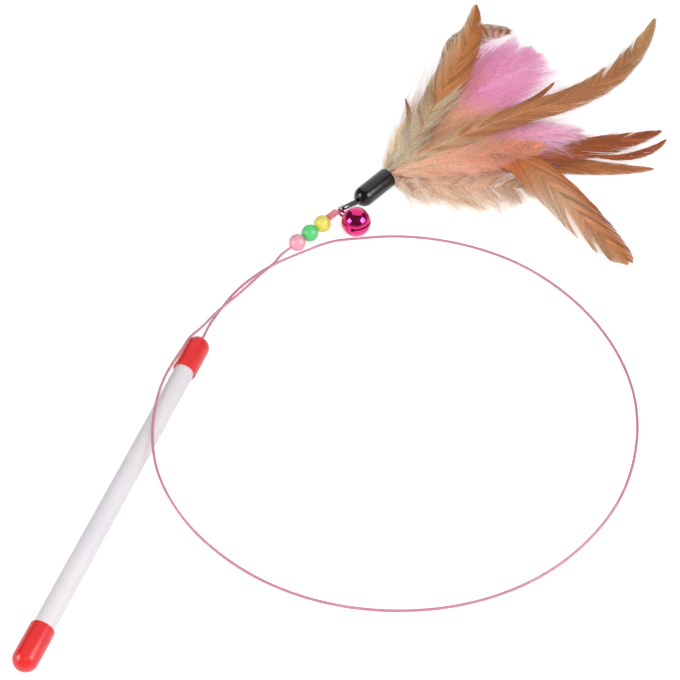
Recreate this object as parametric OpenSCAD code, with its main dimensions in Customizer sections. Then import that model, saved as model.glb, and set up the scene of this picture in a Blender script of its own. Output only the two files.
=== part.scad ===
// Cat teaser wand: a capped tube handle, a looped coated wire with three beads
// and a jingle bell near its tip, and a feather lure in a small black cap.
// The handle lies along +Y, +Z is up, and the handle's axis is at height zero.

/* [Handle] */
// Overall length of the handle with both end caps
handle_length = 180; // [150:1:220]
// Outer diameter of the handle tube
tube_d = 8.8; // [7.6:0.1:12]
// Wall thickness of the handle tube
tube_wall = 0.8; // [0.5:0.1:1]
// Wall thickness of the soft end caps
cap_wall = 0.8; // [0.5:0.1:1.5]
// Length of each end cap, dome included
cap_l = 20; // [14:0.5:30]
// Bevel inside the rim of each end cap
cap_lead = 0.3; // [0.1:0.05:0.4]

/* [Wire] */
// Diameter of the coated wire
wire_d = 1.2; // [0.8:0.1:1.4]
// Diameter of the bare core that forms the eye
core_d = 0.8; // [0.5:0.05:0.8]
// Mean radius of the wire's hidden anchor ring in the top cap
anchor_r = 2.3; // [1.6:0.1:2.6]
// How far the wire anchor stands out of the top cap
anchor_proud = 0.225; // [0.1:0.025:0.5]
// Mean radius of the eye at the wire's tip
eye_r = 2.1; // [2.1:0.05:2.6]
// Straight leg between the sleeve and the eye
eye_leg = 0.5; // [0.45:0.05:1.5]

/* [Beads] */
// Diameter of each bead
bead_d = 8; // [6:0.1:8]
// Gap between neighbouring beads
bead_gap = 0.12; // [0.05:0.01:1]
// Straight wire before the first bead's centre
tip_lead = 8; // [6:0.5:8]

/* [Sleeve] */
// Length of the crimp sleeve
sleeve_l = 5; // [4:0.1:8]
// Wall of the crimp sleeve
sleeve_wall = 0.2; // [0.15:0.05:0.4]
// Gap between the last bead and the sleeve
sleeve_gap = 0.66; // [0.5:0.02:1.5]
// Length of the wire's tail that shows behind the sleeve
tail_show = 0.3; // [0.1:0.05:0.4]

/* [Bell] */
// Outer diameter of the bell
bell_d = 14; // [12:0.1:14]
// Wall of the bell's shells
bell_wall = 0.5; // [0.3:0.05:0.8]
// Width of the slot across the bell's belly
slot_w = 0.8; // [0.5:0.1:1.2]
// Diameter of the slot's round ends
slot_end_d = 1.8; // [1.4:0.1:2.4]
// Angle from the bell's belly pole to each round end
slot_angle = 53; // [40:1:65]
// Height of the seam above the bell's equator
seam_height = 2.4; // [2.2:0.1:3]
// Depth and half width of the groove at the seam
seam_cut = 0.2; // [0.1:0.05:0.25]
// Diameter of the pellet inside the bell
pellet_d = 4; // [3:0.1:5]
// Gap below the pellet at rest
pellet_gap = 0.15; // [0.05:0.05:0.2]
// Mean radius of the bell's wire staple
staple_r = 1.5; // [1.4:0.05:1.5]
// Thickness of the bell's wire staple
staple_t = 1; // [0.8:0.05:1]
// Straight leg of the staple, from its turn to the bell
staple_leg = 4.76; // [4.7:0.02:5.5]
// Height of the small boss over the bell's crown
boss_rise = 0.1; // [0.05:0.01:0.12]

/* [Lure cap] */
// Outer diameter of the feather cap
fcap_d = 10; // [9:0.1:11]
// Wall of the feather cap
fcap_wall = 0.9; // [0.6:0.05:0.95]
// Length of the feather cap, dome included
fcap_l = 22; // [21:0.5:28]
// Mean radius of the black loop's turn
loop_r = 0.95; // [0.93:0.01:1.1]
// Thickness of the black loop's strands
loop_t = 0.9; // [0.7:0.05:0.9]
// Length of the black loop, from the eye to the cap
loop_reach = 8.7; // [8:0.1:14]
// Diameter of the knot inside the cap
knot_d = 3; // [2.9:0.1:3.4]
// Thickness of the turn round the knot
knot_turn = 0.7; // [0.5:0.05:0.8]

/* [Feathers] */
// Depth of the quills in the cap
quill_in = 9; // [6:0.5:10]
// Diameter of each quill
quill_d = 1; // [0.6:0.05:1]
// Sideways spacing of the quills in the cap
quill_pitch = 1.9; // [1.7:0.05:1.9]
// Height between the quill layers in the cap
quill_layer = 1.2; // [1.15:0.05:1.2]
// Length of the longest feather past the cap
tuft_l = 182; // [150:1:200]
// Half width of the widest plume
plume_w = 21; // [16:0.5:22]
// How far the top layer rises at a great distance
tuft_rise = 26; // [24:1:30]
// Distance over which the layers reach half their rise
tuft_ease = 60; // [50:1:62]
// Thickness of a plume at its quill
plume_t = 1.6; // [1.2:0.1:1.8]
// Thickness of a vane beside its quill
vane_t = 0.7; // [0.5:0.05:0.8]

/* [Lie] */
// Direction of the wire's tip in plan
tip_az = 63.9; // [63:0.1:65]
// Rise of the wire's tip
tip_el = 4.6; // [4:0.1:5]
// Direction of the bell from the eye in plan
bell_az = -31.5; // [-33:0.5:-28]
// Direction of the black loop in plan
loop_az = 60.1; // [58:0.1:64]
// Place of the black loop on the eye, below its far side
loop_slip = 9; // [6:0.5:12]
// Direction of the feather cap in plan
fcap_az = 68.7; // [66:0.1:70]

/* [Hidden] */

// running clearance between a shaft and its hole
fit = 0.05;
// overrun of every cutting tool
over = 1;
$fn = 48;

// caps and tube
cap_d = tube_d + 2 * (fit + cap_wall);
cap_r = cap_d / 2;
butt_y = -(cap_l - cap_r) / 2 - cap_r;
top_y = butt_y + handle_length;
floor_z = -cap_r;
exit_y = top_y + anchor_proud;

// tip of the wire: a straight run through the beads and the sleeve
tip_start = [14.5, 232.8, -1.85];
tip_dir = [cos(tip_el) * cos(tip_az), cos(tip_el) * sin(tip_az), sin(tip_el)];
pink_s = tip_lead;
green_s = pink_s + bead_d + bead_gap;
yellow_s = green_s + bead_d + bead_gap;
sleeve_s = yellow_s + bead_d / 2 + sleeve_gap;
sleeve_end_s = sleeve_s + sleeve_l;
eye_s = sleeve_end_s + eye_leg + eye_r;
strand_gap = wire_d + 0.8 * fit;
eye_c = tip_start + eye_s * tip_dir;

// bell: its staple hangs on the low side of the eye and its belly lies on the floor
bell_r = bell_d / 2;
slot_reach = bell_r * sin(slot_angle);
bell_reach = bell_r + boss_rise + staple_leg;
hinge_c = eye_c - [0, 0, eye_r];
bell_tilt = asin((floor_z + bell_r - hinge_c[2]) / bell_reach);
bell_c = hinge_c + bell_reach * [cos(bell_tilt) * cos(bell_az),
    cos(bell_tilt) * sin(bell_az), sin(bell_tilt)];
boss_r = staple_r + staple_t / 2 + 4 * fit;
pellet_drop = bell_r - bell_wall - pellet_d / 2 - pellet_gap;

// lure: the black loop turns round the far side of the eye and its cap lies on the floor
far_c = eye_c + eye_r * [cos(loop_slip) * cos(tip_az), cos(loop_slip) * sin(tip_az),
    -sin(loop_slip)];
fcap_r = fcap_d / 2;
fcap_bore = fcap_r - fcap_wall;
loop_el = asin((floor_z + fcap_r - far_c[2]) / loop_reach);
dome_c = far_c + loop_reach * [cos(loop_el) * cos(loop_az), cos(loop_el) * sin(loop_az),
    sin(loop_el)];
mouth_c = dome_c + fcap_l * [cos(fcap_az), sin(fcap_az), 0];
knot_z = loop_reach + fcap_wall + knot_d / 2 + 4 * fit;
plug_in = fcap_l - fcap_wall - knot_d - knot_turn / 2 - 10 * fit;

// route of the free wire: out of the top cap, round the big loop on the floor, over the
// handle, up along the top cap and on to the beads
route = [
    [0, exit_y, 0], [0, 169.2, 0], [-0.5, 176, -0.9], [0.1, 190.5, -2.6],
    [2, 204.5, -4], [11, 225, -4.65], [20.5, 237, -4.65], [33, 250, -4.65],
    [43, 255.4, -4.65], [58, 262.3, -4.65], [86, 268, -4.65], [115.5, 265.7, -4.65],
    [146, 252.8, -4.65], [172, 230.5, -4.65], [189, 203, -4.65], [196, 176, -4.65],
    [196, 148.5, -4.65], [189.5, 124.5, -4.65], [175, 99, -4.65], [153.5, 78.5, -4.65],
    [125, 64, -4.65], [94, 58.2, -4.65], [68, 60.4, -4.6], [49.5, 65.5, -3.2],
    [30.5, 74.5, 0], [13.5, 89.3, 3.6], [1.5, 111, 5.2], [-4.6, 137.5, 5.2],
    [-4, 156, 4.9], [-3.5, 163.7, 4.6], [-1.5, 170.5, 4], [0.9, 181.7, 3],
    [6.3, 199.7, 1.4], [10.2, 214.5, 0.1], [12.6, 224, -1.3], [13.8, 231.37, -1.98],
    tip_start];
// length of wire between two rings of its tube
ring_step = 9.6;
wire_sides = 8;

function unit(v) = v / norm(v);
function span(i) = norm(route[i + 1] - route[i]);
function rate(i) = (route[i + 1] - route[i]) / span(i);
function tangent(i) = i == 0 ? [0, 1, 0]
    : i == len(route) - 1 ? tip_dir
    : unit((span(i) * rate(i - 1) + span(i - 1) * rate(i)) / (span(i - 1) + span(i)));
function hermite(i, t) = let (a = route[i], b = route[i + 1], h = span(i))
    (1 + 2 * t) * (1 - t) * (1 - t) * a + t * (1 - t) * (1 - t) * h * tangent(i)
    + t * t * (3 - 2 * t) * b + t * t * (t - 1) * h * tangent(i + 1);
function steps(i) = max(1, round(span(i) / ring_step));
wire_line = [for (i = [0:len(route) - 2]) for (k = [0:steps(i) - 1])
    hermite(i, k / steps(i)), tip_start];
last = len(wire_line) - 1;
function heading(i) = i == 0 ? [0, 1, 0]
    : i == last ? tip_dir
    : unit(wire_line[i + 1] - wire_line[i - 1]);
function ring(i) = let (t = heading(i), side = unit(cross([0, 0, 1], t)), up = cross(t, side))
    [for (k = [0:wire_sides - 1]) let (a = 360 * (k + 0.5) / wire_sides)
        wire_line[i] + wire_d / 2 * (cos(a) * side + sin(a) * up)];

// feathers: [quill side, layer, length share, width share, belly power, headings at
// even steps from cap to tip]; headings are in degrees to the left of the cap's axis,
// and a belly power above one moves the widest place towards the tip
spike_shares = [1, 0, 0.35, 0.07, 1, 16, 20, 26, 40, 56];
barred_shares = [0, 0, 0.8, 0.42, 3, 17, 19, 21, 23, -72];
ginger_shares = [-1, 0, 0.73, 0.3, 1.2, -22, -38, -47, -57, -46];
pink_shares = [0.5, 1, 0.68, 1, 1.3, 1, 4, 4, -1, -16];
beige_shares = [-1.4, 1, 0.42, 0.56, 0.9, -50, -58, -57, -52, -48];
cream_shares = [1, 2, 0.4, 0.5, 0.9, 15, 13, 12, 8, 4];
chestnut_shares = [-1, 2, 0.76, 0.38, 1.2, -24, -42, -43, -38, -26];
upright_shares = [0.9, 3, 0.73, 0.42, 1, 1, 15, 19, 22, 38];
rose_shares = [-0.9, 3, 0.55, 0.5, 1.1, -30, -30, -30, -42, -62];
thin_shares = [0.5, 4, 0.56, 0.15, 1, -21, -23, -21, -14, 5];
leaf_shares = [-0.9, 4, 0.83, 0.46, 1.5, -24, -46, -107, -111, -105];
long_shares = [0.6, 5, 0.97, 0.36, 1, -30, -25, -30, 2, 22];
salmon_shares = [-0.9, 5, 0.4, 0.4, 0.9, -46, -48, -46, -44, -46];
layer_shares = [-0.02, 0.19, 0.38, 0.54, 0.77, 1];
rows = 24;

function aim(f, t) = let (k = min(3, floor(4 * t)), u = 4 * t - k)
    (1 - u) * f[5 + k] + u * f[6 + k];
function walk(f, i) = i == 0 ? [[0, f[0] * quill_pitch]]
    : let (w = walk(f, i - 1), a = aim(f, (i - 0.5) / rows), h = tuft_l * f[2] / rows)
        concat(w, [w[i - 1] + h * [cos(a), sin(a)]]);
function height(f, s) = (f[1] - 2.5) * quill_layer
    + tuft_rise * layer_shares[f[1]] * s / (s + tuft_ease);
// width along the feather as a share of its widest, with a bare quill for the first tenth
function vane_share(f, t) = t < 0.1 ? 0 : pow(sin(180 * pow((t - 0.1) / 0.9, f[4])), 0.7);

// one feather: a bare quill in the cap, then a thin cupped vane or a plump plume with a
// notched edge, in even rows along its bent shaft
module feather(f, soft, fray, cup) {
    path = walk(f, rows);
    body_l = tuft_l * f[2];
    wide = plume_w * f[3];
    rings = concat(
        [for (x = [-quill_in, -quill_in / 2]) feather_ring([x, f[0] * quill_pitch],
            (f[1] - 2.5) * quill_layer, 0, quill_d / 2, quill_d / 2, quill_d / 2,
            0.37 * quill_d, 0)],
        [for (i = [0:rows]) let (t = i / rows, s = body_l * t,
            share = vane_share(f, t),
            shaft = quill_d / 2 * (1 - 0.75 * t),
            half = wide * share,
            lf = max(shaft, half * (1 - fray * (i % 2))),
            rt = max(shaft, half * (1 - fray * ((i + 1) % 2))),
            mid = half > shaft ? (soft ? plume_t * 0.35 * share + 0.1 * shaft
                : vane_t / 2 * share + 0.1 * shaft) : 0.74 * shaft)
            feather_ring(path[i], height(f, s), aim(f, t), lf, rt,
                soft ? shaft + plume_t * 0.2 * share : shaft, mid, cup * half)]);
    n = len(rings);
    polyhedron(
        points = [for (r = rings) for (p = r) p],
        faces = concat(
            [for (k = [1:6]) [0, k, k + 1]],
            [for (i = [0:n - 2]) for (k = [0:7])
                [8 * i + k, 8 * i + 8 + k, 8 * i + (k + 1) % 8]],
            [for (i = [0:n - 2]) for (k = [0:7])
                [8 * i + (k + 1) % 8, 8 * i + 8 + k, 8 * i + 8 + (k + 1) % 8]],
            [for (k = [1:6]) [8 * n - 8, 8 * n - 8 + k + 1, 8 * n - 8 + k]]));
}

// eight points round a feather: left edge, over the top, right edge, under
function feather_ring(at, z, a, lf, rt, mid_t, side_t, droop) = [
    for (q = [[lf, -droop, 0], [lf / 2, -droop / 4, side_t], [0, 0, mid_t],
        [-rt / 2, -droop / 4, side_t], [-rt, -droop, 0], [-rt / 2, -droop / 4, -side_t],
        [0, 0, -mid_t], [lf / 2, -droop / 4, -side_t]])
        [at[0] - q[0] * sin(a), at[1] + q[0] * cos(a), z + q[1] + q[2]]];

// frames in which the pieces lie
module along_handle(y) {
    translate([0, y, 0]) rotate([-90, 0, 0]) children();
}
module tip_frame(s) {
    translate(tip_start + s * tip_dir) rotate([0, 90 - tip_el, tip_az]) children();
}
module bell_frame() {
    translate(bell_c) rotate([0, 90 + bell_tilt, bell_az + 180]) children();
}
module loop_frame() {
    translate(far_c) rotate([0, 90 - loop_el, loop_az]) children();
}
module tuft_frame() {
    translate(mouth_c) rotate([0, 0, fcap_az]) children();
}

// a domed cap that stands on its apex and opens at the top
module cap_shell(r, wall, l, lead) {
    difference() {
        union() {
            translate([0, 0, r]) sphere(r);
            translate([0, 0, r]) cylinder(r = r, h = l - r);
        }
        translate([0, 0, r]) sphere(r - wall);
        translate([0, 0, r]) cylinder(r = r - wall, h = l - r + over);
        translate([0, 0, l - lead])
            cylinder(r1 = r - wall, r2 = r - wall + lead, h = lead);
    }
}
// part of a round wire turn, in the XY plane
module wire_turn(mean_r, thick, angle) {
    rotate_extrude(angle = angle) translate([mean_r, 0]) circle(r = thick / 2, $fn = 24);
}
module slot_outline(r, half) {
    translate([-half, 0]) circle(r);
    translate([half, 0]) circle(r);
    translate([-half, -r]) square([2 * half, 2 * r]);
}

module handle_tube() {
    color([0.9, 0.89, 0.92]) along_handle(butt_y + cap_r) difference() {
        cylinder(r = tube_d / 2, h = handle_length - cap_d);
        translate([0, 0, -over])
            cylinder(r = tube_d / 2 - tube_wall, h = handle_length - cap_d + 2 * over);
    }
}
module butt_cap() {
    color([0.9, 0.14, 0.13]) along_handle(butt_y)
        cap_shell(cap_r, cap_wall, cap_l, cap_lead);
}
module top_cap() {
    color([0.9, 0.14, 0.13]) difference() {
        translate([0, top_y, 0]) rotate([90, 0, 0])
            cap_shell(cap_r, cap_wall, cap_l, cap_lead);
        along_handle(top_y - cap_r) cylinder(r = wire_d / 2 + fit, h = cap_r + over);
    }
}
module wire_anchor() {
    color([0.85, 0.54, 0.65]) {
        translate([0, top_y - cap_r, 0]) wire_turn(anchor_r, wire_d, 360);
        along_handle(top_y - cap_r + anchor_r)
            cylinder(r = wire_d / 2, h = exit_y - top_y + cap_r - anchor_r);
    }
}
module wire() {
    n = last + 1;
    m = wire_sides;
    color([0.85, 0.54, 0.65]) polyhedron(
        points = [for (i = [0:last]) for (p = ring(i)) p],
        faces = concat(
            [for (k = [1:m - 2]) [0, k, k + 1]],
            [for (i = [0:last - 1]) for (k = [0:m - 1])
                [m * i + k, m * i + m + k, m * i + (k + 1) % m]],
            [for (i = [0:last - 1]) for (k = [0:m - 1])
                [m * i + (k + 1) % m, m * i + m + k, m * i + m + (k + 1) % m]],
            [for (k = [1:m - 2]) [m * n - m, m * n - m + k + 1, m * n - m + k]]));
}
module wire_tip() {
    color([0.85, 0.54, 0.65]) tip_frame(0) cylinder(r = wire_d / 2, h = sleeve_end_s);
}
module wire_tail() {
    color([0.85, 0.54, 0.65]) tip_frame(sleeve_s - tail_show)
        translate([0, strand_gap, 0]) cylinder(r = wire_d / 2, h = sleeve_l + tail_show);
}
module wire_eye() {
    lean = atan2(strand_gap, eye_leg);
    leg_l = norm([strand_gap, eye_leg]);
    color([0.78, 0.76, 0.77]) {
        translate(eye_c) rotate([90, 0, tip_az]) wire_turn(eye_r, core_d, 360);
        tip_frame(sleeve_end_s) cylinder(r = core_d / 2, h = eye_leg);
        tip_frame(sleeve_end_s) difference() {
            translate([0, strand_gap, 0]) rotate([lean, 0, 0])
                translate([0, 0, -core_d]) cylinder(r = core_d / 2, h = leg_l + core_d);
            translate([-core_d, -core_d, -2 * core_d])
                cube([2 * core_d, strand_gap + 3 * core_d, 2 * core_d]);
        }
    }
}
module crimp_sleeve() {
    color([0.94, 0.56, 0.63]) tip_frame(sleeve_s) translate([0, strand_gap / 2, 0])
        rotate([0, 0, 90]) linear_extrude(sleeve_l) difference() {
            slot_outline(wire_d / 2 + fit + sleeve_wall, strand_gap / 2);
            slot_outline(wire_d / 2 + fit, strand_gap / 2);
        }
}
module bead(s) {
    tip_frame(s) difference() {
        sphere(bead_d / 2);
        translate([0, 0, -bead_d]) cylinder(r = wire_d / 2 + fit, h = 2 * bead_d);
    }
}
module bead_pink() {
    color([1, 0.69, 0.77]) bead(pink_s);
}
module bead_green() {
    color([0.37, 0.86, 0.5]) bead(green_s);
}
module bead_yellow() {
    color([0.96, 0.91, 0.38]) bead(yellow_s);
}
// the bell's hollow wall and the groove round its seam
module bell_wall_shell() {
    difference() {
        sphere(bell_r);
        sphere(bell_r - bell_wall);
        rotate_extrude() translate([sqrt(bell_r * bell_r - seam_height * seam_height), seam_height])
            circle(r = seam_cut, $fn = 16);
    }
}
module bell_upper() {
    color([0.88, 0.13, 0.54]) bell_frame() {
        intersection() {
            bell_wall_shell();
            translate([0, 0, seam_height]) cylinder(r = bell_d, h = bell_d);
        }
        difference() {
            translate([0, 0, bell_r - 2 * bell_wall])
                cylinder(r = boss_r, h = 2 * bell_wall + boss_rise);
            sphere(bell_r - bell_wall / 2);
        }
    }
}
module bell_lower() {
    color([0.88, 0.13, 0.54]) bell_frame() difference() {
        bell_wall_shell();
        translate([0, 0, seam_height]) cylinder(r = bell_d, h = bell_d);
        translate([-slot_w / 2, -slot_reach, -bell_d])
            cube([slot_w, 2 * slot_reach, bell_d]);
        for (side = [-1, 1]) rotate([side * slot_angle, 0, 0])
            translate([0, 0, -bell_d]) cylinder(r = slot_end_d / 2, h = bell_d, $fn = 24);
    }
}
module bell_staple() {
    color([0.8, 0.12, 0.5]) bell_frame() translate([0, 0, bell_reach]) {
        rotate([90, 0, 0]) wire_turn(staple_r, staple_t, 180);
        for (x = [-staple_r, staple_r]) translate([x, 0, -staple_leg])
            cylinder(r = staple_t / 2, h = staple_leg, $fn = 24);
    }
}
module bell_pellet() {
    color([0.6, 0.6, 0.6]) translate(bell_c - [0, 0, pellet_drop]) sphere(pellet_d / 2);
}
module loop_strands(r, from, to) {
    for (y = [-loop_r, loop_r]) translate([0, y, from])
        cylinder(r = r, h = to - from, $fn = 24);
}
module lure_loop() {
    color([0.06, 0.06, 0.07]) loop_frame() {
        rotate([-90, 0, 90]) wire_turn(loop_r, loop_t, 180);
        loop_strands(loop_t / 2, 0, knot_z);
        translate([0, 0, knot_z]) sphere(knot_d / 2);
        translate([0, 0, knot_z]) rotate([90, 0, 0])
            wire_turn(knot_d / 2 - knot_turn / 4, knot_turn, 360);
    }
}
module feather_cap() {
    color([0.05, 0.05, 0.06]) difference() {
        translate(dome_c) rotate([0, 90, fcap_az])
            cap_shell(fcap_r, fcap_wall, fcap_l, cap_lead);
        loop_frame() loop_strands(loop_t / 2 + fit, loop_reach - 2 * loop_t,
            loop_reach + 4 * fcap_wall);
    }
}
module glue_plug() {
    color([0.85, 0.82, 0.72]) tuft_frame() translate([-plug_in, 0, 0]) rotate([0, 90, 0])
        cylinder(r = fcap_bore - fit, h = plug_in - quill_in);
}
module feather_spike() {
    color([0.3, 0.2, 0.15]) tuft_frame() feather(spike_shares, false, 0.2, 0);
}
module feather_barred() {
    color([0.45, 0.32, 0.22]) tuft_frame() feather(barred_shares, false, 0.1, 0.1);
}
module feather_ginger() {
    color([0.78, 0.5, 0.3]) tuft_frame() feather(ginger_shares, false, 0.1, 0.08);
}
module plume_pink() {
    color([0.95, 0.6, 0.82]) tuft_frame() feather(pink_shares, true, 0.22, 0.03);
}
module plume_beige() {
    color([0.86, 0.72, 0.6]) tuft_frame() feather(beige_shares, true, 0.3, 0.03);
}
module plume_cream() {
    color([0.95, 0.9, 0.82]) tuft_frame() feather(cream_shares, true, 0.3, 0.03);
}
module feather_chestnut() {
    color([0.55, 0.3, 0.16]) tuft_frame() feather(chestnut_shares, false, 0.12, 0.1);
}
module feather_upright() {
    color([0.7, 0.4, 0.2]) tuft_frame() feather(upright_shares, false, 0.1, 0.1);
}
module plume_rose() {
    color([0.96, 0.55, 0.75]) tuft_frame() feather(rose_shares, true, 0.3, 0.04);
}
module feather_thin() {
    color([0.8, 0.6, 0.4]) tuft_frame() feather(thin_shares, false, 0.3, 0.05);
}
module feather_leaf() {
    color([0.8, 0.5, 0.3]) tuft_frame() feather(leaf_shares, false, 0.06, 0.1);
}
module feather_long() {
    color([0.78, 0.52, 0.32]) tuft_frame() feather(long_shares, false, 0.08, 0.1);
}
module plume_salmon() {
    color([0.88, 0.55, 0.42]) tuft_frame() feather(salmon_shares, true, 0.3, 0.04);
}

handle_tube();
butt_cap();
top_cap();
wire_anchor();
wire();
wire_tip();
wire_tail();
wire_eye();
crimp_sleeve();
bead_pink();
bead_green();
bead_yellow();
bell_upper();
bell_lower();
bell_staple();
bell_pellet();
lure_loop();
feather_cap();
glue_plug();
feather_spike();
feather_barred();
feather_ginger();
plume_pink();
plume_beige();
plume_cream();
feather_chestnut();
feather_upright();
plume_rose();
feather_thin();
feather_leaf();
feather_long();
plume_salmon();
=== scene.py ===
import math
import bmesh
import bpy
import numpy as np
from mathutils import Matrix


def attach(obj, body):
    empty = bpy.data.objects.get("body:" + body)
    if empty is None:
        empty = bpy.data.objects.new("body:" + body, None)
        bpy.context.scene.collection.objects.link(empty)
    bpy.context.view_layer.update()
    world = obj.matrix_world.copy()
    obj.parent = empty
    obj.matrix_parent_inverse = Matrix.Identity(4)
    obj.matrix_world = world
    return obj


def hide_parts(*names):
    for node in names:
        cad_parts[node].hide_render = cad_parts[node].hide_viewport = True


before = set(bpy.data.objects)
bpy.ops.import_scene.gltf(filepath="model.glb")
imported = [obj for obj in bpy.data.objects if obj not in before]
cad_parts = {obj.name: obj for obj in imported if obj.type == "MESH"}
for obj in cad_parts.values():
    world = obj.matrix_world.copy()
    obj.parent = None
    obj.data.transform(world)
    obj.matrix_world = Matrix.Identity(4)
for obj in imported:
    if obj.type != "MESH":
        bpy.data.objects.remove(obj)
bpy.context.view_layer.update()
print("cat teaser wand: packed model loaded")

# everything below is worked out in millimetres and brought to metres where a mesh is made
millimetre = 0.001

handle = dict(length=180, tubeWidth=8.8, tubeWall=0.8, capWall=0.8, capLength=20, lip=0.33,
              bevel=0.15, slack=0.05)
wireSize = dict(width=1.2, core=0.8, proud=0.225, eyeRadius=2.1, eyeLeg=0.5,
                tipStart=(14.5, 232.8, -1.85), tipAzimuth=63.9, tipRise=4.6, short=0.1,
                shift=0.75, shiftFrom=4.6, shiftOver=1.55)
beadSize = dict(width=8, gap=0.12, lead=8, hole=1.3, rim=0.12)
sleeveSize = dict(length=5, wall=0.2, swell=0.28, spread=0.35, gap=0.66, tail=0.3,
                  pinch=0.05)
bellSize = dict(width=14, wall=0.5, seam=2.4, slot=0.8, slotEnd=1.8, slotAngle=53, staple=1.5,
                stapleWidth=1.3, leg=4.76, boss=0.1, azimuth=-31.5, seamGap=0.12, bossRim=0.12,
                seamRim=0.16, bossMargin=0.2)
lureSize = dict(capWidth=10, capWall=0.9, capLength=22, turn=0.95, turnBack=0.88, strand=0.84,
                reach=8.7, close=0.75, swell=1.42, plain=1.7, easing=1.6, azimuth=60.1, slip=9,
                capAzimuth=68.7, hole=1.5, lip=0.3, knot=0.42, knotWidth=0.8, knotDepth=1.4,
                knotLift=0.9)
capRadius = handle["tubeWidth"] / 2 + handle["slack"] + handle["capWall"]


# small tools

def linearColour(hexText):
    # an sRGB hex value as linear red, green, blue and a solid alpha
    part = np.array([int(hexText[i:i + 2], 16) / 255 for i in (1, 3, 5)])
    line = np.where(part <= 0.04045, part / 12.92, ((part + 0.055) / 1.055) ** 2.4)
    return (*line, 1.0)


def addNode(tree, kind, inputs=None, **settings):
    # one node with its settings; an input is a value, or a socket that is linked to it
    node = tree.nodes.new("ShaderNode" + kind)
    for name, value in settings.items():
        setattr(node, name, value)
    for name, value in (inputs or {}).items():
        if isinstance(value, bpy.types.NodeSocket):
            tree.links.new(value, node.inputs[name])
        else:
            node.inputs[name].default_value = value
    return node


def mathNode(tree, operation, *inputs, clamp=False):
    # the result of one sum on values or sockets
    return addNode(tree, "Math", dict(enumerate(inputs)), operation=operation,
                   use_clamp=clamp).outputs[0]


def rangeNode(tree, value, low, high, shape="LINEAR"):
    # a value carried over from one scale to another; low and high are pairs (from, to)
    return addNode(tree, "MapRange", {"Value": value, "From Min": low[0], "From Max": high[0],
                                      "To Min": low[1], "To Max": high[1]},
                   interpolation_type=shape).outputs["Result"]


def mixNode(tree, share, first, second):
    # two shaders mixed, by the second one's share
    return addNode(tree, "MixShader", {0: share, 1: first, 2: second}).outputs[0]


def newMaterial(name, **values):
    # a material with one Principled shader whose sockets take the given values
    material = bpy.data.materials.new(name)
    material.use_nodes = True
    tree = material.node_tree
    shader = tree.nodes["Principled BSDF"]
    for socket, value in values.items():
        shader.inputs[socket.replace("_", " ")].default_value = value
    return material, tree, shader


def placedMatrix(axes, place):
    # the matrix of a frame, from its three axes and its place
    return Matrix([[*row, p] for row, p in zip(np.column_stack(axes), place)] + [[0, 0, 0, 1]])


def unitRows(rows):
    # vectors brought to length one
    return rows / np.maximum(np.linalg.norm(rows, axis=-1, keepdims=True), 1e-12)


def turnedAxes(azimuth, rise):
    # the three axes of a frame whose third axis points at that azimuth and rise, in degrees;
    # the first points down and the second lies level to the left
    a, e = math.radians(azimuth), math.radians(rise)
    out = np.array([math.cos(e) * math.cos(a), math.cos(e) * math.sin(a), math.sin(e)])
    left = np.array([-math.sin(a), math.cos(a), 0.0])
    return np.array([np.cross(left, out), left, out])


def pointRows(*parts):
    # points from their coordinates; a single number holds for all of them
    return np.column_stack(np.broadcast_arrays(*parts))


def arcPoints(centre, radius, start, end, count):
    # points (radius from the axis, height) on an arc, its angle measured from the axis's plane
    angle = np.radians(np.linspace(start, end, count))
    return pointRows(centre[0] + radius * np.cos(angle), centre[1] + radius * np.sin(angle))


def gridFaces(rows, columns, closeRows, closeColumns):
    # quads between neighbouring points of a grid, which may close on itself both ways
    i = np.arange(rows if closeRows else rows - 1)[:, None]
    j = np.arange(columns if closeColumns else columns - 1)[None, :]
    i2, j2 = (i + 1) % rows, (j + 1) % columns
    return np.stack([i * columns + j, i * columns + j2, i2 * columns + j2, i2 * columns + j],
                    axis=-1).reshape(-1, 4)


def fillMesh(name, points, quads, triangles=None):
    # points in millimetres, then all quads and triangles in one go
    mesh = bpy.data.meshes.new(name)
    triangles = np.zeros((0, 3), int) if triangles is None else triangles
    corners = np.concatenate([quads.ravel(), triangles.ravel()]).astype(np.int32)
    starts = np.concatenate([np.arange(len(quads)) * 4,
                             4 * len(quads) + np.arange(len(triangles)) * 3]).astype(np.int32)
    mesh.vertices.add(len(points))
    mesh.vertices.foreach_set("co", (points * millimetre).astype(np.float32).ravel())
    mesh.loops.add(len(corners))
    mesh.loops.foreach_set("vertex_index", corners)
    mesh.polygons.add(len(starts))
    mesh.polygons.foreach_set("loop_start", starts)
    mesh.polygons.foreach_set("use_smooth", np.ones(len(starts), bool))
    mesh.update(calc_edges=True)
    return mesh


def addPiece(name, data):
    # an object in the scene, of a mesh, a curve, a lamp or a camera
    piece = bpy.data.objects.new(name, data)
    bpy.context.collection.objects.link(piece)
    return piece


def placePiece(name, mesh, body, nodes, slot, material=None):
    # the mesh as an object that rides on a body and stands for the CAD nodes, if any
    mesh.materials.append(material or finishes[slot])
    piece = addPiece(name, mesh)
    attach(piece, body)
    if nodes:
        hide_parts(*nodes)


def sealMesh(mesh, distance):
    # points at one place become one, the faces turn outwards and only true edges stay sharp
    work = bmesh.new()
    work.from_mesh(mesh)
    bmesh.ops.remove_doubles(work, verts=work.verts, dist=distance)
    bmesh.ops.recalc_face_normals(work, faces=work.faces)
    work.to_mesh(mesh)
    work.free()
    mesh.set_sharp_from_angle(angle=math.radians(38))


def gridPiece(name, grid, body, nodes, slot, closeRows=False):
    # a surface from a grid of points, closed round each row
    rows, columns = grid.shape[:2]
    mesh = fillMesh(name, grid.reshape(-1, 3), gridFaces(rows, columns, closeRows, True))
    sealMesh(mesh, 1e-7)
    placePiece(name, mesh, body, nodes, slot)


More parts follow.
